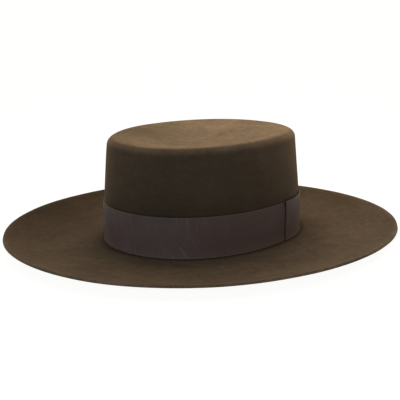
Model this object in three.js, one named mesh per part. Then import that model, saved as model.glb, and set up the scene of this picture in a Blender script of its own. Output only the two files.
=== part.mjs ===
// A flat-topped felt hat with a wide stiff brim and a grosgrain ribbon round its crown.
// Millimetres, +Z up. The wearer looks along -Y, so the wearer's left side is +X.
// The origin is the middle of the flat ring under the brim, on which the hat rests.
import * as THREE from "three";

// Felt: crown and brim are blocked from one hood, so they are one wall of one thickness.
const FELT_THICKNESS = 2.2;

// Every level of the hat is an oval, given by its mean radius. Its half length is the mean
// radius plus the oval spread, and its half width the mean radius less the spread.
const CROWN_SPREAD = 8.1;
const BRIM_SPREAD = 7.5;
const CROWN_SQUARENESS = 2.12;
const BRIM_SQUARENESS = 2.05;

// Crown. The ribbon draws its foot in a little.
const CROWN_HEIGHT = 100;
const CROWN_BASE_RADIUS = 95.4;
const CROWN_TOP_RADIUS = 87.8;
const FOOT_DRAW = 1.25;
const FOOT_DRAW_HEIGHT = 40;
const SHOULDER_RADIUS = 7.5;
const TOP_DISH = 1.6;
const TOP_FORWARD_TILT = 0.95;

// Brim: flat next to the crown, then lifting in a gentle curve to its edge
const BRIM_EDGE_RADIUS = 187.6;
const BREAK_RADIUS = 2.5;
const FLAT_RING_END = 115;
const BRIM_LIFT = 8.6;
const BRIM_LIFT_POWER = 2;
const BRIM_FRONT_LIFT = 1.8;
const BRIM_SIDE_LIFT = 0.75;
const EDGE_ROUNDING = 0.4;

// Ribbon: one strip wound once round the crown, whose end laps over its start. Its angles are
// taken from the front of the hat towards the wearer's left.
const RIBBON_WIDTH = 36.4;
const RIBBON_THICKNESS = 0.8;
const RIBBON_BOTTOM = 3.1;
const RIBBON_GAP = 0.3;
const LAP_FRONT_ANGLE = THREE.MathUtils.degToRad(101);
const LAP_ANGLE = THREE.MathUtils.degToRad(22);
const LAP_RAMP_START = THREE.MathUtils.degToRad(24);
const LAP_RAMP_ANGLE = THREE.MathUtils.degToRad(14);
const RIBBON_FLARE = 0.8;
const RIBBON_FLARE_REACH = 3.5;

// Fineness of the facets. The ribbon's rows lie closer together towards its flared lower edge.
const SECTORS = 90;
const SHOULDER_STEPS = 5;
const BREAK_STEPS = 3;
const BRIM_STEPS = 7;
const TOP_STEPS = 4;
const WALL_STEPS = 5;
const RIBBON_STEPS = 96;
const RIBBON_ROWS = 4;
const RIBBON_ROW_POWER = 1.6;

const { lerp, smoothstep, clamp } = THREE.MathUtils;

// Mean radius of the crown's outer face at a height, before its edges are rounded.
function wallRadius(height) {
  const drawn = FOOT_DRAW * (1 - smoothstep(height, 0, FOOT_DRAW_HEIGHT));
  return lerp(CROWN_BASE_RADIUS, CROWN_TOP_RADIUS, height / CROWN_HEIGHT) - drawn;
}

// How far the brim rises above its flat ring, at a mean radius and an angle from the front.
function brimLift(radius, angle) {
  const share = clamp((radius - FLAT_RING_END) / (BRIM_EDGE_RADIUS - FLAT_RING_END), 0, 1);
  const edgeLift = BRIM_LIFT + BRIM_FRONT_LIFT * Math.cos(angle) - BRIM_SIDE_LIFT * Math.cos(2 * angle);
  return edgeLift * share ** BRIM_LIFT_POWER;
}

// A power that keeps the sign, which squares an oval off a little.
function signedPower(value, power) {
  return Math.sign(value) * Math.abs(value) ** power;
}

// A point of the hat from its mean radius, its angle from the front and its height.
function hatPoint(radius, angle, height) {
  const outward = clamp((radius - CROWN_BASE_RADIUS) / (BRIM_EDGE_RADIUS - CROWN_BASE_RADIUS), 0, 1);
  const inward = clamp(radius / (CROWN_TOP_RADIUS - SHOULDER_RADIUS), 0, 1);
  const spread = lerp(CROWN_SPREAD, BRIM_SPREAD, outward) * inward;
  const power = 2 / lerp(CROWN_SQUARENESS, BRIM_SQUARENESS, outward);
  const tilt = TOP_FORWARD_TILT * Math.cos(angle) * inward * (height / CROWN_HEIGHT);
  return new THREE.Vector3(
    (radius - spread) * signedPower(Math.sin(angle), power),
    -(radius + spread) * signedPower(Math.cos(angle), power),
    height + tilt + brimLift(radius, angle),
  );
}

// Points of an arc in the profile plane, its first point left out.
function arcPoints(centre, radius, fromAngle, toAngle, steps) {
  return Array.from({ length: steps }, (_, i) => {
    const angle = lerp(fromAngle, toAngle, (i + 1) / steps);
    return new THREE.Vector2(centre.x + radius * Math.cos(angle), centre.y + radius * Math.sin(angle));
  });
}

// Half of the crown and brim in profile, from the axis over the top and down the wall, then out
// along the brim. The inner face is the outer one moved in by the thickness of the felt.
function faceProfile(inset) {
  const taper = Math.atan2(CROWN_BASE_RADIUS - CROWN_TOP_RADIUS, CROWN_HEIGHT);
  const shoulder = new THREE.Vector2(
    wallRadius(CROWN_HEIGHT - SHOULDER_RADIUS) - SHOULDER_RADIUS / Math.cos(taper),
    CROWN_HEIGHT - SHOULDER_RADIUS,
  );
  const breakHeight = FELT_THICKNESS + BREAK_RADIUS;
  const breakCentre = new THREE.Vector2(wallRadius(breakHeight) + BREAK_RADIUS / Math.cos(taper), breakHeight);
  const topHeight = CROWN_HEIGHT - inset;
  const points = [];
  for (let i = 0; i <= TOP_STEPS; i += 1) {
    const share = i / TOP_STEPS;
    points.push(new THREE.Vector2(shoulder.x * share, topHeight - TOP_DISH * (1 - share ** 2)));
  }
  points.push(...arcPoints(shoulder, SHOULDER_RADIUS - inset, Math.PI / 2, taper, SHOULDER_STEPS));
  const wallTop = points.at(-1).y;
  const wallFoot = breakCentre.y - (BREAK_RADIUS + inset) * Math.sin(taper);
  for (let i = 1; i <= WALL_STEPS; i += 1) {
    const height = lerp(wallTop, wallFoot, i / WALL_STEPS);
    points.push(new THREE.Vector2(wallRadius(height) - inset / Math.cos(taper), height));
  }
  points.push(...arcPoints(breakCentre, BREAK_RADIUS + inset, Math.PI + taper, 1.5 * Math.PI, BREAK_STEPS));
  const brimHeight = FELT_THICKNESS - inset;
  points.push(new THREE.Vector2(FLAT_RING_END, brimHeight));
  for (let i = 1; i <= BRIM_STEPS; i += 1) {
    const radius = lerp(FLAT_RING_END, BRIM_EDGE_RADIUS - EDGE_ROUNDING, i / BRIM_STEPS);
    points.push(new THREE.Vector2(radius, brimHeight));
  }
  return points;
}

// A lathe of a profile on the axis, drawn out of round into the hat's ovals.
function feltGeometry() {
  const outer = faceProfile(0);
  const inner = faceProfile(FELT_THICKNESS);
  const edge = [
    new THREE.Vector2(BRIM_EDGE_RADIUS, FELT_THICKNESS - EDGE_ROUNDING),
    new THREE.Vector2(BRIM_EDGE_RADIUS, EDGE_ROUNDING),
  ];
  const profile = [...outer, ...edge, ...inner.reverse()].reverse();
  const geometry = new THREE.LatheGeometry(profile, SECTORS);
  const position = geometry.getAttribute("position");
  for (let i = 0; i < position.count; i += 1) {
    const across = position.getX(i);
    const ahead = position.getZ(i);
    const point = hatPoint(Math.hypot(across, ahead), Math.atan2(across, ahead), position.getY(i));
    position.setXYZ(i, point.x, point.y, point.z);
  }
  geometry.computeVertexNormals();
  return geometry;
}

// How far the ribbon stands out to pass over its own start, at an angle along its winding.
function lapOffset(angle) {
  const along = angle - LAP_FRONT_ANGLE;
  const over = 1 - smoothstep(along, LAP_RAMP_START, LAP_RAMP_START + LAP_RAMP_ANGLE);
  return (RIBBON_THICKNESS + RIBBON_GAP) * over;
}

// The ribbon is cut as a straight strip, a box, and is then wrapped round the crown.
function ribbonGeometry() {
  const winding = 2 * Math.PI + LAP_ANGLE;
  const length = winding * wallRadius(RIBBON_BOTTOM);
  const geometry = new THREE.BoxGeometry(
    length, RIBBON_THICKNESS, RIBBON_WIDTH, RIBBON_STEPS, 1, RIBBON_ROWS,
  );
  const position = geometry.getAttribute("position");
  for (let i = 0; i < position.count; i += 1) {
    const angle = LAP_FRONT_ANGLE + winding * (position.getX(i) / length + 0.5);
    const upward = clamp(position.getZ(i) / RIBBON_WIDTH + 0.5, 0, 1);
    const rise = RIBBON_WIDTH * upward ** RIBBON_ROW_POWER;
    const height = RIBBON_BOTTOM + rise;
    const flare = RIBBON_FLARE * Math.exp(-rise / RIBBON_FLARE_REACH);
    const through = RIBBON_THICKNESS / 2 - position.getY(i);
    const radius = wallRadius(height) + RIBBON_GAP + flare + lapOffset(angle) + through;
    const point = hatPoint(radius, angle, height);
    position.setXYZ(i, point.x, point.y, point.z);
  }
  geometry.computeVertexNormals();
  return geometry;
}

const felt = new THREE.MeshStandardMaterial({ color: 0x5b4b3a, roughness: 0.95, metalness: 0 });
const grosgrain = new THREE.MeshStandardMaterial({ color: 0x372c2a, roughness: 0.6, metalness: 0 });

const feltBody = new THREE.Mesh(feltGeometry(), felt);
feltBody.name = "felt_body";

const hatBand = new THREE.Mesh(ribbonGeometry(), grosgrain);
hatBand.name = "hat_band";

const hat = new THREE.Group();
hat.add(feltBody, hatBand);

export default hat;
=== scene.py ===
"""A flat-crowned felt hat with a folded grosgrain ribbon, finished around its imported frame."""

import math

import bmesh
import bpy
from bpy.props import FloatProperty, FloatVectorProperty, IntProperty, PointerProperty
from mathutils import Matrix, Vector, noise


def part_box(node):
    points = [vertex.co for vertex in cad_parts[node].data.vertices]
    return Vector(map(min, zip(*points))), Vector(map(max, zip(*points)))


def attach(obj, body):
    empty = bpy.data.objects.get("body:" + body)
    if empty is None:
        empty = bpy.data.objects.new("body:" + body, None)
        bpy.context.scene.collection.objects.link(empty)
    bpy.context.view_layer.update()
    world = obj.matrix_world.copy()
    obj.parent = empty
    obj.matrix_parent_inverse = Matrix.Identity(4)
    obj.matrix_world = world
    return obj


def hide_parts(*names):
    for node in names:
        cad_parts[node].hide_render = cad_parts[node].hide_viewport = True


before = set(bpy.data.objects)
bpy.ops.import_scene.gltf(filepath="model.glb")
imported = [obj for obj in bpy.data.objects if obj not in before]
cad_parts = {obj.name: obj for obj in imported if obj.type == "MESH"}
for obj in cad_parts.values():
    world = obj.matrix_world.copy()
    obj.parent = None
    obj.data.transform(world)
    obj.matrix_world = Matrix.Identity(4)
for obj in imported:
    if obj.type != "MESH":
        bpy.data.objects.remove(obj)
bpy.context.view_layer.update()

bl_info = {
    "name": "Felt hat",
    "version": (1, 0, 0),
    "blender": (4, 5, 0),
    "location": "View3D > Sidebar > Felt hat",
    "description": "Makes a flat-crowned felt hat with a folded grosgrain ribbon",
    "category": "Add Mesh",
}

MM = 0.001
FELT_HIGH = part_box("felt_body")[1]
BAND_LOW, BAND_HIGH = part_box("hat_band")

# The crown's top is higher at the front than its mean height by this much, and lower at the back.
TOP_TILT = 0.95 * MM
CROWN_HEIGHT = FELT_HIGH.z - TOP_TILT
BRIM_RADIUS = (FELT_HIGH.x + FELT_HIGH.y) / 2
BRIM_SPREAD = (FELT_HIGH.y - FELT_HIGH.x) / 2

# The ribbon's upper edge lies at this share of the crown's height and has that share of its tilt.
# The line that it presses into the felt lies a little above it.
RIBBON_TOP_SHARE = 0.4
TUCK_OVER_RIBBON = 0.4 * MM
TUCK_HEIGHT = BAND_HIGH.z - TOP_TILT * RIBBON_TOP_SHARE + TUCK_OVER_RIBBON


def length(name, description, default):
    """A size that a user may change."""
    return FloatProperty(name=name, description=description, default=default, unit="LENGTH", precision=4)


def turn(name, description, degrees):
    """An angle that a user may change."""
    return FloatProperty(name=name, description=description, default=math.radians(degrees), subtype="ANGLE")


def amount(name, description, default):
    """A plain number that a user may change."""
    return FloatProperty(name=name, description=description, default=default, min=0.0)


def colour(name, description, default):
    """A linear colour that a user may change."""
    return FloatVectorProperty(
        name=name, description=description, default=default, subtype="COLOR", size=3, min=0.0, max=1.0
    )


class HatShape(bpy.types.PropertyGroup):
    """The felt's sizes. Radii are means of the oval's half length and half width."""

    thickness: length("Felt thickness", "Thickness of the blocked felt", 2.2 * MM)
    crown_height: length("Crown height", "Height of the crown's top edge", CROWN_HEIGHT)
    crown_base: length(
        "Crown foot", "Mean radius of the crown at its foot, before the ribbon draws it in", 95.4 * MM
    )
    crown_top: length("Crown top", "Mean radius of the crown at its top, before rounding", 87.8 * MM)
    foot_draw: length("Foot drawn in", "How far the ribbon draws the crown's foot in", 2.6 * MM)
    draw_height: length("Drawn height", "Height where the ribbon stops drawing the felt in", 40 * MM)
    crown_spread: length("Crown oval", "How much longer than round the crown is, to each side", 8.1 * MM)
    crown_squareness: amount("Crown squareness", "Exponent of the crown's oval, 2 for an ellipse", 2.12)
    shoulder: length("Shoulder", "Radius of the crown's top edge", 7.5 * MM)
    soft_side: length("Softer side", "How far the shoulder is rubbed down at the wearer's right", 0.65 * MM)
    front_dip: length("Front dip", "How far the top's rim dips at the front", 2.5 * MM)
    top_dish: length("Top dish", "How far the middle of the top lies below its edge", 3 * MM)
    top_tilt: length("Top tilt", "How far the top leans down to the back", TOP_TILT)
    brim_edge: length("Brim edge", "Mean radius of the brim's cut edge", BRIM_RADIUS)
    brim_spread: length("Brim oval", "How much longer than round the brim is, to each side", BRIM_SPREAD)
    brim_squareness: amount("Brim squareness", "Exponent of the brim's oval, 2 for an ellipse", 2.05)
    break_radius: length("Break", "Radius of the bend between crown and brim", 1.3 * MM)
    flat_end: length("Flat ring", "Mean radius where the brim starts to lift", 115 * MM)
    brim_lift: length("Brim lift", "How far the brim's edge lies above its flat ring", 8.6 * MM)
    lift_power: amount("Lift power", "How late the brim's lift comes, 2 for an even curve", 2.6)
    front_lift: length("Front lift", "How much more the front of the brim lifts", 1.8 * MM)
    side_lift: length("Side lift", "How much more the sides of the brim lift", 0.75 * MM)
    tuck_height: length(
        "Tuck height", "Height of the line that the ribbon's upper edge presses in", TUCK_HEIGHT
    )
    tuck_depth: length("Tuck depth", "How deep that line is", 0.3 * MM)
    tuck_reach: length("Tuck reach", "How far that line reaches up and down", 0.7 * MM)
    unevenness: length("Unevenness", "How far hand blocking leaves the felt off its true shape", 0.35 * MM)
    sectors: IntProperty(name="Sectors", description="Facets round the hat", default=320, min=24)


class RibbonShape(bpy.types.PropertyGroup):
    """The ribbon's sizes. Angles are taken from the front towards the wearer's left."""

    width: length("Width", "Width of the ribbon", 37 * MM)
    bottom: length("Bottom", "Height of the ribbon's lower edge", BAND_LOW.z - 0.6 * MM)
    thickness: length("Thickness", "Thickness of the woven ribbon", 0.42 * MM)
    lie: length("Lie", "Distance of the ribbon's middle from the felt", 0.42 * MM)
    lap_step: length("Lap step", "How far each further layer lies out", 0.5 * MM)
    lap_front: turn("Folded end", "Where the folded end lies", 102.2)
    lap_under: turn("Lap", "How far the ribbon's start runs under its folded end", 22)
    ramp_start: turn("Ramp start", "Where the top layer starts to come down to the felt", 22.5)
    ramp: turn("Ramp", "How far the top layer takes to come down", 9)
    fold_lean: turn("Fold lean", "How far the folded end leans, from its bottom to its top", 0.4)
    hem: length("Hem", "Length of ribbon turned under at the folded end", 9 * MM)
    flare: length("Flare", "How far the lower edge stands out", 0.5 * MM)
    flare_reach: length("Flare reach", "Height over which the flare dies away", 3 * MM)
    rib_pitch: length("Rib pitch", "Distance between the woven ribs", 0.72 * MM)
    rib_relief: length("Rib relief", "Height of the woven ribs", 0.055 * MM)
    selvedge: length("Selvedge", "Width of the flat woven edge", 1.1 * MM)


class HatColours(bpy.types.PropertyGroup):
    """The felt's, ribbon's and floor's colours."""

    felt: colour("Felt", "Main colour of the felt", (0.0985, 0.0735, 0.0490))
    felt_shade: colour("Felt shade", "Darker fibres in the felt", (0.041, 0.0322, 0.0225))
    # Painted light: the crown's top is coloured paler for the light that falls on it.
    felt_top_painted_light: colour("Felt top", "Top of the crown, where the nap is brushed up", (0.273, 0.205, 0.124))
    # Partly wear and partly a painted highlight, on the brim's edge and the top's rim.
    felt_rub_and_highlight: colour("Felt rub", "Felt where its edges are handled", (0.160, 0.121, 0.082))
    crease: colour("Crease", "Felt and ribbon in the deepest shade", (0.004, 0.003, 0.002))
    ribbon: colour("Ribbon", "Main colour of the ribbon", (0.1400, 0.0940, 0.0850))
    # Also painted along the selvedges, partly as a painted highlight.
    ribbon_light: colour("Ribbon light", "Watered streaks of the ribbon", (0.226, 0.166, 0.141))
    floor: colour("Floor", "Colour of the floor", (0.16, 0.16, 0.16))


class StudioSettings(bpy.types.PropertyGroup):
    """The camera and the light."""

    distance: length("Distance", "From the camera to the point that it aims at", 813.1 * MM)
    azimuth: turn("Azimuth", "Camera's turn from the front towards the wearer's left", 44.23)
    elevation: turn("Elevation", "Camera's angle above the floor", 13.93)
    roll: turn("Roll", "Camera's turn about its own line of sight", -0.85)
    aim_side: length("Aim sideways", "How far right of the hat's middle the camera aims", -3.22 * MM)
    aim_height: length("Aim height", "How high the camera aims", 31.98 * MM)
    lens: amount("Lens", "Focal length in mm on a 36 mm wide sensor", 74.89)
    ambient: amount("Ambient", "Strength of the even light from all round", 0.005)
    narrowness: amount("Narrowness", "How narrow each soft light's glow is", 8)
    softbox_size: length("Softbox size", "Width of each softbox", 250 * MM)
    softbox_aim: length("Softbox aim", "Height that the softboxes aim at", 80 * MM)
    floor_glow: amount("Floor glow", "Light that the lit floor gives off by itself", 0.95)


def clamp(value):
    """A value held between 0 and 1."""
    return min(max(value, 0.0), 1.0)


def lerp(start, end, share):
    """A value between two, by a share."""
    return start + (end - start) * share


def smoothstep(value, start, end):
    """A share that rises smoothly from 0 at the start to 1 at the end."""
    share = clamp((value - start) / (end - start))
    return share * share * (3 - 2 * share)


def hump(place, middle, reach):
    """A smooth hump along a length, 1 in its middle."""
    return math.exp(-((place - middle) / reach) ** 2)


def bell(angle, middle, reach):
    """A smooth hump round the hat, from an angle, its middle and its reach in degrees."""
    return hump(math.remainder(angle - math.radians(middle), 2 * math.pi), 0, math.radians(reach))


def shares(steps):
    """Even shares of a whole, from the first step to 1."""
    return [(i + 1) / steps for i in range(steps)]


def signed_power(value, power):
    """A power that keeps the sign, which squares an oval off a little."""
    return math.copysign(abs(value) ** power, value)


def wall_radius(shape, height):
    """Mean radius of the crown's outer face at a height, before its edges are rounded."""
    drawn = shape.foot_draw * (1 - smoothstep(height, 0, shape.draw_height))
    return lerp(shape.crown_base, shape.crown_top, height / shape.crown_height) - drawn


def brim_rise(shape, radius, angle):
    """How far the brim lies above its flat ring."""
    share = clamp((radius - shape.flat_end) / (shape.brim_edge - shape.flat_end))
    edge = shape.brim_lift + shape.front_lift * math.cos(angle) - shape.side_lift * math.cos(2 * angle)
    return edge * share ** shape.lift_power


def hat_point(shape, radius, angle, height):
    """A point of the hat from its mean radius, its angle from the front and its height."""
    outward = clamp((radius - shape.crown_base) / (shape.brim_edge - shape.crown_base))
    inward = clamp(radius / (shape.crown_top - shape.shoulder))
    spread = lerp(shape.crown_spread, shape.brim_spread, outward) * inward
    power = 2 / lerp(shape.crown_squareness, shape.brim_squareness, outward)
    tilt = shape.top_tilt * math.cos(angle) * inward * height / shape.crown_height
    return Vector((
        (radius - spread) * signed_power(math.sin(angle), power),
        -(radius + spread) * signed_power(math.cos(angle), power),
        height + tilt + brim_rise(shape, radius, angle),
    ))


def arc(centre, radius, start, end, steps):
    """Points of an arc in the profile plane, its first point left out."""
    turns = [lerp(start, end, share) for share in shares(steps)]
    return [(centre[0] + radius * math.cos(t), centre[1] + radius * math.sin(t)) for t in turns]


def line(start, end, steps):
    """Points of a line in the profile plane, its first point left out."""
    return [(lerp(start[0], end[0], s), lerp(start[1], end[1], s)) for s in shares(steps)]


# How many parts each stretch of the felt's profile has, from the middle of the top to the brim's edge
PROFILE_PARTS = {"top": 16, "shoulder": 18, "wall": 20, "bend": 5, "flat ring": 8, "brim": 18}

# Rows of the wall about the line that the ribbon's upper edge presses in, by their height above it
TUCK_ROWS = (-1.4 * MM, -0.7 * MM, 0, 0.6 * MM, 1.2 * MM, 1.9 * MM)


def felt_profile(shape):
    """The felt's outer face in profile: over the top, down the wall and out along the brim."""
    parts = PROFILE_PARTS
    taper = math.atan2(shape.crown_base - shape.crown_top, shape.crown_height)
    shoulder_height = shape.crown_height - shape.shoulder
    shoulder = (wall_radius(shape, shoulder_height) - shape.shoulder / math.cos(taper), shoulder_height)
    break_height = shape.thickness + shape.break_radius
    bend = (wall_radius(shape, break_height) + shape.break_radius / math.cos(taper), break_height)
    points = [(0, shape.crown_height - shape.top_dish)]
    for share in shares(parts["top"]):
        points.append((shoulder[0] * share, shape.crown_height - shape.top_dish * (1 - share * share)))
    points += arc(shoulder, shape.shoulder, math.pi / 2, taper, parts["shoulder"])
    foot_height = bend[1] - shape.break_radius * math.sin(taper)
    heights = [lerp(points[-1][1], foot_height, share) for share in shares(parts["wall"])]
    heights += [shape.tuck_height + row for row in TUCK_ROWS]
    points += [(wall_radius(shape, height), height) for height in sorted(heights, reverse=True)]
    points += arc(bend, shape.break_radius, math.pi + taper, 1.5 * math.pi, parts["bend"])
    points += line(points[-1], (shape.flat_end, shape.thickness), parts["flat ring"])
    points += line(points[-1], (shape.brim_edge, shape.thickness), parts["brim"])
    return points


# Points closer together than this are one point
MERGE_DISTANCE = 0.01 * MM


def spun(points, steps):
    """A bmesh of a profile turned once round the Z axis, its faces pointing up and outwards."""
    bm = bmesh.new()
    verts = [bm.verts.new((radius, 0, height)) for radius, height in points]
    edges = [bm.edges.new(pair) for pair in zip(verts, verts[1:])]
    bmesh.ops.spin(
        bm, geom=verts + edges, cent=(0, 0, 0), axis=(0, 0, 1), angle=2 * math.pi, steps=steps, use_merge=True
    )
    bmesh.ops.remove_doubles(bm, verts=bm.verts, dist=MERGE_DISTANCE)
    bmesh.ops.recalc_face_normals(bm, faces=bm.faces)
    bm.faces.ensure_lookup_table()
    highest = max(bm.faces, key=lambda face: face.calc_center_median().z)
    if highest.normal.z < 0:
        bmesh.ops.reverse_faces(bm, faces=bm.faces)
    return bm


def tuck(shape, radius, height):
    """How much a place of the felt lies in the line under the ribbon's upper edge, from 0 to 1."""
    if radius > shape.crown_base + 1 * MM:
        return 0.0
    return hump(height, shape.tuck_height, shape.tuck_reach)


def rubbed_down(shape, radius, height, angle):
    """How far the shoulder is rubbed down, most at the wearer's right, where hands hold the crown."""
    off_shoulder = math.hypot(radius - shape.crown_top, height - shape.crown_height)
    return shape.soft_side * bell(angle, middle=-48, reach=25) * hump(off_shoulder, middle=0, reach=9 * MM)


# How fast the dip of the top's rim dies away towards the middle of the top, as a power
DIP_POWER = 1.4


def rim_dip(shape, radius, height, angle):
    """How far the rim of the crown's top dips at the front."""
    inward = clamp(radius / shape.crown_top) ** DIP_POWER
    upward = smoothstep(height, start=shape.crown_height - 30 * MM, end=shape.crown_height - 6 * MM)
    return shape.front_dip * bell(angle, middle=20, reach=50) * inward * upward


# How much of the top's look, its paler colour and painted light, the rounded shoulder keeps at most, just
# below the top's edge
SHOULDER_SHARE = 0.3


def top_share(shape, radius, height):
    """How far a place belongs to the crown's top and not to its wall, from 0 to 1."""
    if height < shape.crown_height / 2:
        return 0.0
    if radius < shape.crown_top - shape.shoulder:
        return 1.0
    below = shape.crown_height - height
    rolled = 1 - smoothstep(below, start=0.15 * MM, end=1.3 * MM)
    fading = 1 - smoothstep(below, start=0.6 * MM, end=7.5 * MM)
    return max(rolled, SHOULDER_SHARE * fading)


# The darkening and lightening below is painted shade and painted light, standing in for soft shade and light
# that the studio's lights alone don't give. They are fixed to the hat and stay the same in any light.

# Shares of light that painted shade takes away on the brim: in the crease along the ribbon, outside the
# ribbon's foot at the least and at the most, and close to its foot at the right of the front.
CREASE_DARK = 0.93
FOOT_DARK_LEAST = 0.1
FOOT_DARK_MOST = 0.4
CORNER_DARK = 0.55

# Wide patches of painted shade on the brim: the share of light that each takes away, the turn of its
# middle from the front and its reach round the hat in degrees, and the distances from the crown where it
# starts and where it is full.
DARK_PATCHES = (
    {"dark": 0.5, "turn": -72, "reach": 42, "start": 5 * MM, "end": 35 * MM},
    {"dark": 0.16, "turn": 178, "reach": 55, "start": 10 * MM, "end": 60 * MM},
)


def lit_brim(shape, radius, angle):
    """How much of the brim's colour its painted shade leaves, from none in the crease under the ribbon to 1.
    """
    out = radius - shape.crown_base
    lit = 1 - CREASE_DARK * hump(out, middle=-0.6 * MM, reach=3.2 * MM)
    foot_dark = lerp(FOOT_DARK_LEAST, FOOT_DARK_MOST, bell(angle, middle=44, reach=55))
    lit *= 1 - foot_dark * (1 - smoothstep(out, start=8 * MM, end=34 * MM))
    lit *= 1 - CORNER_DARK * bell(angle, middle=-25, reach=28) * hump(out, middle=0, reach=10 * MM)
    for patch in DARK_PATCHES:
        there = bell(angle, patch["turn"], patch["reach"]) * smoothstep(out, patch["start"], patch["end"])
        lit *= 1 - patch["dark"] * there
    return lit


# Painted light and shade on the wall: how much of its colour is kept, and the shares of painted shade near
# the ribbon, of painted light at the wearer's left, and of painted shade in the pressed line, with the share
# that the lapped end adds there.
WALL_LIT = 0.79
NEAR_RIBBON_DARK = 0.13
LEFT_SIDE_LIGHT = 0.2
TUCK_LINE_DARK = 0.4
LAP_LINE_DARK = 0.55

# Painted shadows in the pressed line at the two ends of the lap: the share of light that each takes away,
# its turn from the front and its spread in degrees, its height above the line and its reach there.
LAP_SPOTS = (
    {"dark": 0.95, "turn": 103.6, "spread": 1.2, "above": 0.2 * MM, "reach": 1.8 * MM},
    {"dark": 0.8, "turn": 128, "spread": 3, "above": 0.4 * MM, "reach": 1.5 * MM},
)


def lit_wall(shape, height, angle):
    """How much of the wall's colour its painted light and shade leave, with the painted dark line over the
    ribbon's lapped end.
    """
    above = height - shape.tuck_height
    lit = WALL_LIT * (1 - NEAR_RIBBON_DARK * hump(above, middle=0, reach=10 * MM))
    lit *= 1 + LEFT_SIDE_LIGHT * bell(angle, middle=121, reach=12)
    turned = math.degrees(angle)
    over_lap = smoothstep(turned, start=101, end=103.5) * (1 - smoothstep(turned, start=128, end=133))
    lit *= 1 - (TUCK_LINE_DARK + LAP_LINE_DARK * over_lap) * hump(above, middle=0, reach=0.8 * MM)
    for spot in LAP_SPOTS:
        there = bell(angle, spot["turn"], spot["spread"]) * hump(above, spot["above"], spot["reach"])
        lit *= 1 - spot["dark"] * there
    return lit


# Painted light and shade on the top: how much of its colour is kept, what painted light adds at one place,
# and what painted shade takes away at another, with the middles of the two places.
TOP_LIT = 0.83
TOP_PAINTED_LIGHT = 0.17
TOP_PAINTED_LIGHT_PLACE = Vector((-21 * MM, 29 * MM))
TOP_PAINTED_SHADE = 0.4
TOP_PAINTED_SHADE_PLACE = Vector((-50 * MM, -30 * MM))


def lit_top(radius, angle):
    """How much of the top's colour is kept: painted shade at one side, painted light at another and near the
    front rim.
    """
    place = Vector((radius * math.sin(angle), -radius * math.cos(angle)))
    # One patch of painted shade and two of painted light, the second along the front rim.
    flat = hump((place - TOP_PAINTED_SHADE_PLACE).length, middle=0, reach=35 * MM)
    painted_light_patch = hump((place - TOP_PAINTED_LIGHT_PLACE).length, middle=0, reach=22 * MM)
    near_rim = bell(angle, middle=56, reach=45) * smoothstep(radius, start=50 * MM, end=78 * MM)
    return TOP_LIT + TOP_PAINTED_LIGHT * max(painted_light_patch, near_rim) - TOP_PAINTED_SHADE * flat


# Places of the profile below this height belong to the brim
BRIM_HEIGHT = 3.5 * MM


def felt_shade(shape, radius, height, angle):
    """How dark the felt is painted: painted shade next to the ribbon's edges and on the brim, and painted
    light and shade on the wall and top.
    """
    if height < BRIM_HEIGHT:
        return 1 - lit_brim(shape, radius, angle)
    on_top = top_share(shape, radius, height)
    return 1 - lerp(lit_wall(shape, height, angle), lit_top(radius, angle), on_top)


# How much the felt's grain shows on the wall, how much more on the brim, and the top's share of that
WALL_GRAIN = 0.4
BRIM_GRAIN_MORE = 0.4
TOP_GRAIN_SHARE = 0.9


def felt_grain(shape, radius, height):
    """How much the felt's grain shows: less on the wall, which is ironed, than on the brim and top."""
    on_brim = smoothstep(radius, start=shape.crown_base, end=shape.crown_base + 6 * MM)
    on_top = TOP_GRAIN_SHARE * top_share(shape, radius, height)
    return WALL_GRAIN + BRIM_GRAIN_MORE * max(on_brim, on_top)


# Waves that hand work leaves in the felt: their shares of the whole and their repeats per metre
SLOW_WAVES, SLOW_REPEATS = 0.7, 14
SHORT_WAVES, SHORT_REPEATS = 0.3, 40


def hand_unevenness(point):
    """Slow waves that blocking and brushing by hand leave in felt, between about -1 and 1."""
    slow = SLOW_WAVES * noise.noise(point * SLOW_REPEATS)
    return slow + SHORT_WAVES * noise.noise(point * SHORT_REPEATS)


def finished(name, bm, material, slot_name, *replaced):
    """A piece from its bmesh, smooth, with its material, riding on the hat."""
    mesh = bpy.data.meshes.new(name)
    bm.to_mesh(mesh)
    bm.free()
    mesh.shade_smooth()
    piece = bpy.data.objects.new(name, mesh)
    bpy.context.scene.collection.objects.link(piece)
    mesh.materials.append(material)
    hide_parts(*replaced)
    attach(piece, "root")
    return piece


def solidify(piece, thickness, offset):
    """Gives a piece its thickness: inwards for an offset of -1, to both sides for 0."""
    wall = piece.modifiers.new("Wall", "SOLIDIFY")
    wall.thickness = thickness
    wall.offset = offset
    wall.use_even_offset = True


# Edges that turn by more than this are softened
SHARP_ANGLE = math.radians(50)


def soften_edges(piece, width, segments):
    """Rounds a piece's sharp edges."""
    soft = piece.modifiers.new("Soft edges", "BEVEL")
    soft.width = width
    soft.segments = segments
    soft.limit_method = "ANGLE"
    soft.angle_limit = SHARP_ANGLE


# Width of the border along the brim's edge that is worn and painted with a highlight, and of the like ring
# round the crown's shoulder, which starts this far from the corner that the shoulder rounds off.
HANDLED_AND_HIGHLIT_BORDER = 5 * MM
SHOULDER_CORNER = 2.5 * MM

# Share of a move down a slope of 45 degrees that goes inwards, and that goes down
SLOPE_SHARE = 0.7


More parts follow.
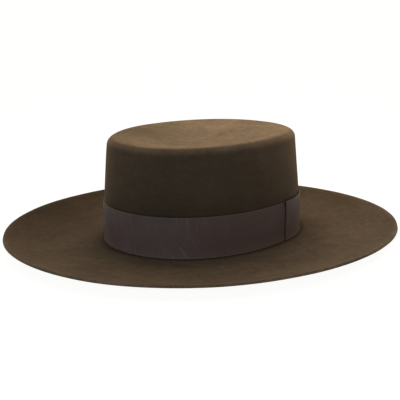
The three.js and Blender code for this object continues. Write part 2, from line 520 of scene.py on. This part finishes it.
def make_felt_skin(shape):
    """The felt's outer face, drawn into the hat's ovals, with masks for its worn and highlighted edges, its
    paler painted top and its painted shade.
    """
    bm = spun(felt_profile(shape), shape.sectors)
    rub_and_highlight = bm.verts.layers.float.new("rub_and_highlight")
    crown_top = bm.verts.layers.float.new("crown_top")
    shade = bm.verts.layers.float.new("shade")
    grain = bm.verts.layers.float.new("grain")
    nap = bm.verts.layers.float_vector.new("nap")
    for vert in bm.verts:
        radius = math.hypot(vert.co.x, vert.co.y)
        height = vert.co.z
        angle = math.atan2(vert.co.x, -vert.co.y)
        near_edge = smoothstep(radius, start=shape.brim_edge - HANDLED_AND_HIGHLIT_BORDER, end=shape.brim_edge)
        off_shoulder = math.hypot(radius - shape.crown_top, height - shape.crown_height) - SHOULDER_CORNER
        on_top = top_share(shape, radius, height)
        # The crown's top, which the felt's material paints paler: painted light.
        vert[crown_top] = on_top
        # Worn edges that also carry a painted highlight: the brim's edge and the ring round the top's rim.
        vert[rub_and_highlight] = max(near_edge, (1 - smoothstep(off_shoulder, start=0, end=HANDLED_AND_HIGHLIT_BORDER)) * on_top)
        round_hat = min(radius, shape.crown_base)
        down_profile = radius + shape.crown_height - height
        vert[nap] = (round_hat * math.sin(angle), -round_hat * math.cos(angle), down_profile)
        vert[shade] = felt_shade(shape, radius, height, angle)
        vert[grain] = felt_grain(shape, radius, height)
        pressed = tuck(shape, radius, height) * shape.tuck_depth
        vert.co = hat_point(shape, radius - pressed, angle, height)
        low = rubbed_down(shape, radius, height, angle)
        vert.co -= Vector((math.sin(angle), -math.cos(angle), 1)) * low * SLOPE_SHARE
        vert.co.z -= rim_dip(shape, radius, height, angle)
    bm.normal_update()
    for vert in bm.verts:
        radius = vert.co.xy.length
        on_ring = smoothstep(radius, start=80 * MM, end=90 * MM)
        on_ring *= 1 - smoothstep(radius, start=120 * MM, end=150 * MM)
        free = 1 - on_ring * (1 - smoothstep(vert.co.z, start=10 * MM, end=40 * MM))
        vert.co += vert.normal * hand_unevenness(vert.co) * shape.unevenness * free
    return bm


def ribbon_length(shape, ribbon):
    """Length of the strip with its hem, at the mean radius of its lower edge."""
    return ribbon.hem + (2 * math.pi + ribbon.lap_under) * wall_radius(shape, ribbon.bottom)


def strip_place(shape, ribbon, along):
    """Angle round the hat and distance off the felt of the strip's middle, at a length from its hem."""
    around = wall_radius(shape, ribbon.bottom)
    fold = ribbon.lap_step / 2
    fold_length = math.pi * fold
    if along < ribbon.hem:
        return ribbon.lap_front + (ribbon.hem - along + fold) / around, ribbon.lie + ribbon.lap_step
    if along < ribbon.hem + fold_length:
        bend = (along - ribbon.hem) / fold
        back = fold * (1 - math.sin(bend))
        return ribbon.lap_front + back / around, ribbon.lie + ribbon.lap_step + fold * (1 - math.cos(bend))
    turned = (along - ribbon.hem - fold_length + fold) / around
    over = 1 - smoothstep(turned, ribbon.ramp_start, ribbon.ramp_start + ribbon.ramp)
    return ribbon.lap_front + turned, ribbon.lie + 2 * ribbon.lap_step * over


def off_selvedge(ribbon, across):
    """How far a place of the strip is off its flat selvedges, from 0 to 1."""
    edge = min(across, ribbon.width - across)
    return smoothstep(edge, start=0.3 * ribbon.selvedge, end=ribbon.selvedge)


# How far the ribs wander, as a share of their pitch, and the repeats per metre of that, along and across
RIB_WANDER = 0.35
RIB_WANDER_REPEATS = (60, 45)


def rib_height(ribbon, along, across):
    """Height of the woven ribs, which run across the strip and stop short of its selvedges."""
    repeats = RIB_WANDER_REPEATS
    wander = RIB_WANDER * noise.noise(Vector((along * repeats[0], across * repeats[1], 0)))
    wave = 0.5 + 0.5 * math.cos(2 * math.pi * (along / ribbon.rib_pitch + wander))
    return ribbon.rib_relief * wave * off_selvedge(ribbon, across)


# Areas where pressing has watered the ribbon: the length from the strip's hem to the middle of the
# area, how far it reaches along the strip, and how much its streaks lean.
WATERED_AREAS = (
    {"at": 428 * MM, "reach": 20 * MM, "lean": 0.0},
    {"at": 487 * MM, "reach": 28 * MM, "lean": 0.55},
)

# How strongly the ribbon is watered outside those areas
LEAST_WATERING = 0.2


def watering(along):
    """How strongly the ribbon is watered at a length from its hem, and how much its streaks lean."""
    strength, lean = LEAST_WATERING, 0.0
    for area in WATERED_AREAS:
        share = hump(along, area["at"], area["reach"])
        strength = max(strength, share)
        lean += share * area["lean"]
    return strength, lean


# Painted shade on the ribbon: how much of its colour is kept, and the shares that painted shade takes away:
# towards its top, beside its folded end at the bottom and at the top, in the line along that end and in that
# end's open corner.
RIBBON_LIT = 0.88
UPWARD_DARK = 0.52
FOLD_DARK_BOTTOM = 0.05
FOLD_DARK_TOP = 0.36
FOLD_LINE_DARK = 0.95
OPEN_CORNER_DARK = 0.97

# Where the dark line along the folded end is full, as a length along the strip from that end
FOLD_LINE = -0.35 * MM

# Stretches of painted light and painted shade: the length along the strip from its folded end to the
# middle of each, its reach, and the share of light that it adds or takes away.
PAINTED_STRETCHES = (
    {"at": -107 * MM, "reach": 30 * MM, "light": 0.12},
    {"at": -219 * MM, "reach": 14 * MM, "light": -0.28},
)


def ribbon_shade(shape, ribbon, along, across):
    """How dark the ribbon is painted: painted shade towards its top, beside its folded end and in that end's
    open corner, and painted light and shade in stretches.
    """
    around = wall_radius(shape, ribbon.bottom)
    upward = across / ribbon.width
    fold_bulge = (math.pi - 1) * ribbon.lap_step / 2
    start = ribbon_length(shape, ribbon) - ribbon.lap_under * around + fold_bulge
    beside = along - start - ribbon.fold_lean * (upward - 0.5) * around
    fold_line = hump(beside, FOLD_LINE, reach=0.55 * MM) if beside < FOLD_LINE else 1.0
    corner = hump(beside, middle=-0.9 * MM, reach=2.6 * MM)
    corner *= hump(ribbon.width - across, middle=1.3 * MM, reach=2.4 * MM)
    fold_dark = hump(beside, middle=0, reach=11 * MM) * lerp(FOLD_DARK_BOTTOM, FOLD_DARK_TOP, upward)
    lit = RIBBON_LIT * (1 - UPWARD_DARK * upward) * (1 - fold_dark)
    for stretch in PAINTED_STRETCHES:
        lit *= 1 + stretch["light"] * hump(beside, stretch["at"], stretch["reach"])
    return 1 - lit * (1 - FOLD_LINE_DARK * fold_line) * (1 - OPEN_CORNER_DARK * corner)


# Fineness of the strip: columns for each rib, and rows across it
COLUMNS_PER_RIB = 3
STRIP_ROWS = 14

# How the watered streaks bow, as a power, how far they wander, and the repeats per metre of that
# wandering, along and across.
STREAK_BOW = 1.7
STREAK_WANDER = 0.9 * MM
STREAK_WANDER_REPEATS = (50, 95)


def make_ribbon_strip(shape, ribbon):
    """A straight woven strip, wound round the crown, with its hem turned under its folded end."""
    strip = ribbon_length(shape, ribbon)
    columns = round(strip / ribbon.rib_pitch) * COLUMNS_PER_RIB
    bm = bmesh.new()
    uv = bm.loops.layers.uv.new("UVMap")
    bmesh.ops.create_grid(bm, x_segments=columns, y_segments=STRIP_ROWS, size=0.5)
    for vert in bm.verts:
        across = ribbon.width * (0.5 - 0.5 * math.cos(math.pi * clamp(vert.co.y + 0.5)))
        vert.co = Vector(((vert.co.x + 0.5) * strip, across, 0))
    for face in bm.faces:
        for loop in face.loops:
            loop[uv].uv = loop.vert.co.xy / ribbon.width
    watered = bm.verts.layers.float.new("watered")
    streaks = bm.verts.layers.float_vector.new("streaks")
    shade = bm.verts.layers.float.new("shade")
    edging_and_highlight = bm.verts.layers.float.new("edging_and_highlight")
    for vert in bm.verts:
        along, across = vert.co.x, vert.co.y
        upward = across / ribbon.width
        vert[edging_and_highlight] = 1 - off_selvedge(ribbon, across)
        vert[shade] = ribbon_shade(shape, ribbon, along, across)
        vert[watered], lean = watering(along)
        bow = lean * ribbon.width * (1 - upward) ** STREAK_BOW
        repeats = STREAK_WANDER_REPEATS
        wander = STREAK_WANDER * noise.noise(Vector((along * repeats[0], across * repeats[1], 3)))
        vert[streaks] = (along - bow + wander, across, 0)
        angle, off = strip_place(shape, ribbon, along)
        near_fold = 1 - smoothstep(along, start=ribbon.hem, end=4 * ribbon.hem)
        angle += near_fold * ribbon.fold_lean * (upward - 0.5)
        height = ribbon.bottom + across
        flare = ribbon.flare * math.exp(-across / ribbon.flare_reach)
        side = -1 if along < ribbon.hem else 1
        radius = wall_radius(shape, height) + off + flare + side * rib_height(ribbon, along, across)
        vert.co = hat_point(shape, radius, angle, height)
    return bm


def new_material(name):
    """An empty node material, its tree and its Principled shader, joined to the output."""
    material = bpy.data.materials.new(name)
    material.use_nodes = True
    tree = material.node_tree
    shader = tree.nodes["Principled BSDF"]
    return material, tree, shader


def fill(tree, socket, value):
    """Links another socket to a socket, or gives it a plain number, vector or colour."""
    if isinstance(value, bpy.types.NodeSocket):
        tree.links.new(value, socket)
    elif socket.type == "RGBA":
        socket.default_value = (*value, 1)
    else:
        socket.default_value = value


def computed(tree, operation, *values):
    """The result of a maths node on sockets or numbers."""
    node = tree.nodes.new("ShaderNodeMath")
    node.operation = operation
    for socket, value in zip(node.inputs, values):
        fill(tree, socket, value)
    return node.outputs[0]


def noise_texture(tree, place, scale, detail, roughness, distortion):
    """Noise at a place, at a scale in repeats for each unit of that place."""
    texture = tree.nodes.new("ShaderNodeTexNoise")
    fill(tree, texture.inputs["Vector"], place)
    fill(tree, texture.inputs["Scale"], scale)
    fill(tree, texture.inputs["Detail"], detail)
    fill(tree, texture.inputs["Roughness"], roughness)
    fill(tree, texture.inputs["Distortion"], distortion)
    return texture.outputs["Fac"]


def spread_value(tree, value, low, high):
    """A value whose range from low to high is drawn out to 0 to 1."""
    node = tree.nodes.new("ShaderNodeMapRange")
    fill(tree, node.inputs["From Min"], low)
    fill(tree, node.inputs["From Max"], high)
    fill(tree, node.inputs["Value"], value)
    return node.outputs["Result"]


def fibre_group():
    """Cloudy and fine variation of fibres, as a mask and a height."""
    name = "Fibres"
    if name in bpy.data.node_groups:
        return bpy.data.node_groups[name]
    group = bpy.data.node_groups.new(name, "ShaderNodeTree")
    group.interface.new_socket("Vector", in_out="INPUT", socket_type="NodeSocketVector")
    for name_in in ("Cloud scale", "Fibre scale", "Fibre share"):
        group.interface.new_socket(name_in, in_out="INPUT", socket_type="NodeSocketFloat")
    for name_out in ("Mask", "Height"):
        group.interface.new_socket(name_out, in_out="OUTPUT", socket_type="NodeSocketFloat")
    given = group.nodes.new("NodeGroupInput").outputs
    result = group.nodes.new("NodeGroupOutput").inputs
    clouds = noise_texture(
        group, given["Vector"], given["Cloud scale"], detail=4, roughness=0.5, distortion=0
    )
    fibres = noise_texture(
        group, given["Vector"], given["Fibre scale"], detail=6, roughness=0.7, distortion=0.8
    )
    centred = computed(group, "SUBTRACT", fibres, 0.5)
    variation = computed(group, "MULTIPLY_ADD", centred, given["Fibre share"], clouds)
    fill(group, result["Mask"], spread_value(group, variation, low=0.25, high=0.75))
    fill(group, result["Height"], fibres)
    return group


def place_fibres(tree, place, cloud_scale, fibre_scale, fibre_share):
    """The fibre group in a material: its scales in repeats per unit, and its share of fine fibres."""
    node = tree.nodes.new("ShaderNodeGroup")
    node.node_tree = fibre_group()
    fill(tree, node.inputs["Vector"], place)
    fill(tree, node.inputs["Cloud scale"], cloud_scale)
    fill(tree, node.inputs["Fibre scale"], fibre_scale)
    fill(tree, node.inputs["Fibre share"], fibre_share)
    return node.outputs


# Sockets of a Mix node by their place, since its kinds share their names: for colours, then numbers
COLOUR_A, COLOUR_B, COLOUR_RESULT = 6, 7, 2
NUMBER_A, NUMBER_B, NUMBER_RESULT = 2, 3, 0


def mix_colours(tree, mask, first, second):
    """A colour between two, by a mask. Each is a socket or a plain colour."""
    mix = tree.nodes.new("ShaderNodeMix")
    mix.data_type = "RGBA"
    fill(tree, mix.inputs["Factor"], mask)
    fill(tree, mix.inputs[COLOUR_A], first)
    fill(tree, mix.inputs[COLOUR_B], second)
    return mix.outputs[COLOUR_RESULT]


def blend_values(tree, first, second, share):
    """A value between two, by a share. Each is a socket or a number."""
    mix = tree.nodes.new("ShaderNodeMix")
    fill(tree, mix.inputs["Factor"], share)
    fill(tree, mix.inputs[NUMBER_A], first)
    fill(tree, mix.inputs[NUMBER_B], second)
    return mix.outputs[NUMBER_RESULT]


def bump(tree, shader, height, distance, strength):
    """Fine relief in a material, from a height."""
    node = tree.nodes.new("ShaderNodeBump")
    node.inputs["Distance"].default_value = distance
    node.inputs["Strength"].default_value = strength
    tree.links.new(height, node.inputs["Height"])
    tree.links.new(node.outputs["Normal"], shader.inputs["Normal"])


def streaky_noise(tree, attribute_name, repeats, distortion):
    """Noise on a piece's own vector attribute, with different repeats per metre along its axes."""
    own = tree.nodes.new("ShaderNodeAttribute")
    own.attribute_name = attribute_name
    stretch = tree.nodes.new("ShaderNodeMapping")
    fill(tree, stretch.inputs["Vector"], own.outputs["Vector"])
    fill(tree, stretch.inputs["Scale"], repeats)
    place = stretch.outputs["Vector"]
    return noise_texture(tree, place, 1, detail=4, roughness=0.6, distortion=distortion)


def attribute(tree, name):
    """A mask that a piece carries as an attribute of its mesh."""
    node = tree.nodes.new("ShaderNodeAttribute")
    node.attribute_name = name
    return node.outputs["Fac"]


def felt_material(colours):
    """Matt wool felt with a short nap, mottled in its fibres, paler at worn edges with a painted highlight,
    with a painted light top and painted shade.
    """
    material, tree, shader = new_material("wool_felt")
    place = tree.nodes.new("ShaderNodeTexCoord").outputs["Object"]
    fibres = place_fibres(tree, place, cloud_scale=30, fibre_scale=330, fibre_share=1.2)
    tufts = place_fibres(tree, place, cloud_scale=18, fibre_scale=150, fibre_share=1.6)
    streaks = streaky_noise(tree, "nap", repeats=(45, 45, 210), distortion=0.3)
    grain = attribute(tree, "grain")
    mottle = blend_values(tree, fibres["Mask"], tufts["Mask"], share=grain)
    full_nap = spread_value(tree, blend_values(tree, mottle, streaks, share=0.45), low=0.25, high=0.75)
    nap = blend_values(tree, 0.5, full_nap, share=grain)
    mottled = mix_colours(tree, nap, colours.felt_shade, colours.felt)
    # Painted light: the crown's top is given the paler colour.
    pale = mix_colours(tree, nap, colours.felt, colours.felt_top_painted_light)
    painted_top_colour = mix_colours(tree, attribute(tree, "crown_top"), mottled, pale)
    # Worn edges, partly a painted highlight.
    worn_and_highlit = computed(tree, "MULTIPLY", attribute(tree, "rub_and_highlight"), fibres["Mask"])
    rubbed = mix_colours(tree, worn_and_highlit, painted_top_colour, colours.felt_rub_and_highlight)
    # Painted shade from the shade mask.
    shaded = mix_colours(tree, attribute(tree, "shade"), rubbed, colours.crease)
    tree.links.new(shaded, shader.inputs["Base Color"])
    relief = blend_values(tree, fibres["Height"], tufts["Height"], share=grain)
    height = computed(tree, "MULTIPLY", blend_values(tree, relief, streaks, share=0.35), grain)
    bump(tree, shader, height, distance=0.6 * MM, strength=0.9)
    shader.inputs["Roughness"].default_value = 0.9
    shader.inputs["Diffuse Roughness"].default_value = 1.0
    shader.inputs["Specular IOR Level"].default_value = 0.02
    shader.inputs["Sheen Weight"].default_value = 0.17
    shader.inputs["Sheen Roughness"].default_value = 0.5
    shader.inputs["Sheen Tint"].default_value = (0.86, 0.60, 0.38, 1)
    return material


def ribbon_material(colours):
    """Ribbed grosgrain with the faint watered streaks of a pressed ribbon, selvedges partly lit by a painted
    highlight, and painted shade.
    """
    material, tree, shader = new_material("grosgrain")
    place = tree.nodes.new("ShaderNodeTexCoord").outputs["UV"]
    fibres = place_fibres(tree, place, cloud_scale=2.5, fibre_scale=60, fibre_share=0.6)
    water = streaky_noise(tree, "streaks", repeats=(480, 36, 1), distortion=0.9)
    edges = spread_value(tree, water, low=0.54, high=0.69)
    sharp = computed(tree, "MULTIPLY", edges, attribute(tree, "watered"))
    soft = spread_value(tree, fibres["Mask"], low=0.1, high=1.2)
    streak = blend_values(tree, sharp, soft, share=0.25)
    watered = mix_colours(tree, streak, colours.ribbon, colours.ribbon_light)
    # The selvedges are lighter: partly their weave, partly a painted highlight.
    selvedge = computed(tree, "MULTIPLY", attribute(tree, "edging_and_highlight"), 0.3)
    edged = mix_colours(tree, selvedge, watered, colours.ribbon_light)
    # Painted shade from the shade mask.
    shaded = mix_colours(tree, attribute(tree, "shade"), edged, colours.crease)
    tree.links.new(shaded, shader.inputs["Base Color"])
    roughness = blend_values(tree, 0.62, 0.46, share=streak)
    tree.links.new(roughness, shader.inputs["Roughness"])
    gloss = blend_values(tree, 0.2, 0.0, share=attribute(tree, "shade"))
    tree.links.new(gloss, shader.inputs["Coat Weight"])
    bump(tree, shader, fibres["Height"], distance=0.08 * MM, strength=0.4)
    shader.inputs["Specular IOR Level"].default_value = 0.2
    shader.inputs["Sheen Weight"].default_value = 0.17
    shader.inputs["Sheen Roughness"].default_value = 0.3
    shader.inputs["Sheen Tint"].default_value = (0.86, 0.80, 0.77, 1)
    shader.inputs["Coat Roughness"].default_value = 0.45
    return material


def floor_material(colours, glow):
    """A plain pale matt floor of lit acrylic, which leaves hardly any shadow."""
    material, _, shader = new_material("studio_floor")
    shader.inputs["Base Color"].default_value = (*colours.floor, 1)
    shader.inputs["Roughness"].default_value = 1.0
    shader.inputs["Specular IOR Level"].default_value = 0.0
    shader.inputs["Emission Color"].default_value = (1, 0.998, 0.985, 1)
    shader.inputs["Emission Strength"].default_value = glow
    return material


# Soft lights of the studio, as wide glows of its surroundings. Each stands at a turn from the
# camera's side towards its right, at a height above the floor, with a strength and a colour.
WARM, COOL = (1.2, 1.0, 0.78), (0.88, 0.96, 1.07)
SOFT_LIGHTS = (
    {"turn": 180, "height": 10, "strength": 3.0, "colour": WARM},
    {"turn": 225, "height": 10, "strength": 0.14, "colour": WARM},
    {"turn": 225, "height": 60, "strength": 0.93, "colour": WARM},
    {"turn": 270, "height": 10, "strength": 0.25, "colour": COOL},
    {"turn": 315, "height": 10, "strength": 1.61, "colour": COOL},
    {"turn": 45, "height": 10, "strength": 0.63, "colour": COOL},
)

# Softboxes over the hat: sideways and away from the hat's middle as the camera sees it, height
# and power in watts.
SOFTBOXES = (
    {"right": 0.0, "away": 0.1, "height": 0.5, "power": 1.28},
    {"right": 0.25, "away": 0.1, "height": 0.3, "power": 0.2},
    {"right": 0.25, "away": -0.15, "height": 0.3, "power": 0.22},
)


def direction(around, up):
    """The direction at a turn from the front and an angle above the floor."""
    return Vector((math.sin(around) * math.cos(up), -math.cos(around) * math.cos(up), math.sin(up)))


def camera_axes(studio):
    """The level directions to the camera's right and away from it."""
    side = studio.azimuth
    return Vector((math.cos(side), math.sin(side), 0)), Vector((-math.sin(side), math.cos(side), 0))


def make_surroundings(studio):
    """The studio's light: an even dim glow all round and wide soft lights in it."""
    world = bpy.data.worlds.new("studio")
    bpy.context.scene.world = world
    world.use_nodes = True
    tree = world.node_tree
    view = tree.nodes.new("ShaderNodeTexCoord").outputs["Generated"]
    ambient = tree.nodes.new("ShaderNodeCombineXYZ")
    for socket in ambient.inputs:
        socket.default_value = studio.ambient
    total = ambient.outputs[0]
    for light in SOFT_LIGHTS:
        facing = tree.nodes.new("ShaderNodeVectorMath")
        facing.operation = "DOT_PRODUCT"
        fill(tree, facing.inputs[0], view)
        around = studio.azimuth + math.radians(light["turn"])
        fill(tree, facing.inputs[1], direction(around, math.radians(light["height"])))
        seen = computed(tree, "MAXIMUM", facing.outputs["Value"], 0)
        glow = computed(tree, "POWER", seen, studio.narrowness)
        add = tree.nodes.new("ShaderNodeVectorMath")
        add.operation = "MULTIPLY_ADD"
        fill(tree, add.inputs[0], glow)
        fill(tree, add.inputs[1], [light["strength"] * part for part in light["colour"]])
        fill(tree, add.inputs[2], total)
        total = add.outputs["Vector"]
    background = tree.nodes["Background"]
    tree.links.new(total, background.inputs["Color"])
    background.inputs["Strength"].default_value = 1


def make_softboxes(studio):
    """Round softboxes over the hat, each aimed at its crown and unseen by the camera."""
    right, away = camera_axes(studio)
    for box in SOFTBOXES:
        data = bpy.data.lights.new("softbox", "AREA")
        data.shape = "DISK"
        data.size = studio.softbox_size
        data.energy = box["power"]
        data.color = WARM
        lamp = bpy.data.objects.new("softbox", data)
        place = right * box["right"] + away * box["away"] + Vector((0, 0, box["height"]))
        aim = Vector((0, 0, studio.softbox_aim)) - place
        lamp.matrix_world = Matrix.Translation(place) @ aim.to_track_quat("-Z", "Y").to_matrix().to_4x4()
        lamp.visible_camera = False
        bpy.context.scene.collection.objects.link(lamp)


# The floor: its reach round the hat, its sides, and how far it lies under the hat
FLOOR_RADIUS = 60
FLOOR_SIDES = 64
FLOOR_GAP = 0.1 * MM


def make_floor(colours, glow):
    """A wide round floor just under the hat."""
    bm = bmesh.new()
    bmesh.ops.create_circle(bm, cap_ends=True, cap_tris=True, segments=FLOOR_SIDES, radius=FLOOR_RADIUS)
    bmesh.ops.translate(bm, verts=bm.verts, vec=(0, 0, -FLOOR_GAP))
    mesh = bpy.data.meshes.new("studio_floor")
    bm.to_mesh(mesh)
    bm.free()
    mesh.materials.append(floor_material(colours, glow))
    floor = bpy.data.objects.new("studio_floor", mesh)
    bpy.context.scene.collection.objects.link(floor)


# Width of the camera's sensor, in mm
SENSOR_WIDTH = 36


def make_camera(studio):
    """The camera, at its angle to the hat and a hair off level."""
    back = direction(studio.azimuth, studio.elevation)
    right = camera_axes(studio)[0]
    turned = Matrix((right, back.cross(right), back)).transposed() @ Matrix.Rotation(studio.roll, 3, "Z")
    aim = right * studio.aim_side + Vector((0, 0, studio.aim_height))
    data = bpy.data.cameras.new("camera")
    data.lens = studio.lens
    data.sensor_width = SENSOR_WIDTH
    camera = bpy.data.objects.new("camera", data)
    camera.matrix_world = Matrix.Translation(aim + back * studio.distance) @ turned.to_4x4()
    bpy.context.scene.collection.objects.link(camera)
    bpy.context.scene.camera = camera


class MakeFeltBody(bpy.types.Operator):
    """Makes the crown and brim, blocked in one from a felt hood"""

    bl_idname = "felt_hat.make_felt_body"
    bl_label = "Crown and brim"

    def execute(self, context):
        scene = context.scene
        shape = scene.hat_shape
        bm = make_felt_skin(shape)
        piece = finished("felt_crown_and_brim", bm, felt_material(scene.hat_colours), "felt", "felt_body")
        solidify(piece, shape.thickness, offset=-1)
        soften_edges(piece, width=0.7 * MM, segments=3)
        return {"FINISHED"}


class MakeRibbon(bpy.types.Operator):
    """Makes the grosgrain ribbon, wound round the crown with its folded end over its start"""

    bl_idname = "felt_hat.make_ribbon"
    bl_label = "Ribbon"

    def execute(self, context):
        scene = context.scene
        shape, ribbon = scene.hat_shape, scene.hat_ribbon
        bm = make_ribbon_strip(shape, ribbon)
        piece = finished("grosgrain_ribbon", bm, ribbon_material(scene.hat_colours), "grosgrain", "hat_band")
        solidify(piece, ribbon.thickness, offset=0)
        return {"FINISHED"}


class MakeStage(bpy.types.Operator):
    """Makes the camera, the floor and the soft light"""

    bl_idname = "felt_hat.make_stage"
    bl_label = "Stage"

    def execute(self, context):
        scene = context.scene
        make_camera(scene.hat_studio)
        make_floor(scene.hat_colours, scene.hat_studio.floor_glow)
        make_surroundings(scene.hat_studio)
        make_softboxes(scene.hat_studio)
        scene.view_settings.view_transform = "Standard"
        return {"FINISHED"}


OPERATORS = (MakeStage, MakeFeltBody, MakeRibbon)
SETTINGS = {
    "hat_shape": HatShape,
    "hat_ribbon": RibbonShape,
    "hat_colours": HatColours,
    "hat_studio": StudioSettings,
}


class FeltHatPanel(bpy.types.Panel):
    """Lists the hat's settings and the operators that make its pieces"""

    bl_idname = "VIEW3D_PT_felt_hat"
    bl_label = "Felt hat"
    bl_space_type = "VIEW_3D"
    bl_region_type = "UI"
    bl_category = "Felt hat"

    def draw(self, context):
        layout = self.layout
        for name, group in SETTINGS.items():
            box = layout.box()
            for prop in group.__annotations__:
                box.prop(getattr(context.scene, name), prop)
        for operator in OPERATORS:
            layout.operator(operator.bl_idname)


def register():
    """Adds the settings, the operators and the panel to Blender."""
    for kind in (*SETTINGS.values(), *OPERATORS, FeltHatPanel):
        bpy.utils.register_class(kind)
    for name, group in SETTINGS.items():
        setattr(bpy.types.Scene, name, PointerProperty(type=group))


def unregister():
    """Takes them out again."""
    for name in SETTINGS:
        delattr(bpy.types.Scene, name)
    for kind in (FeltHatPanel, *reversed(OPERATORS), *reversed(SETTINGS.values())):
        bpy.utils.unregister_class(kind)


def main():
    """Makes the stage and the hat's pieces."""
    register()
    bpy.ops.felt_hat.make_stage()
    bpy.ops.felt_hat.make_felt_body()
    bpy.ops.felt_hat.make_ribbon()


if __name__ == "__main__":
    main()
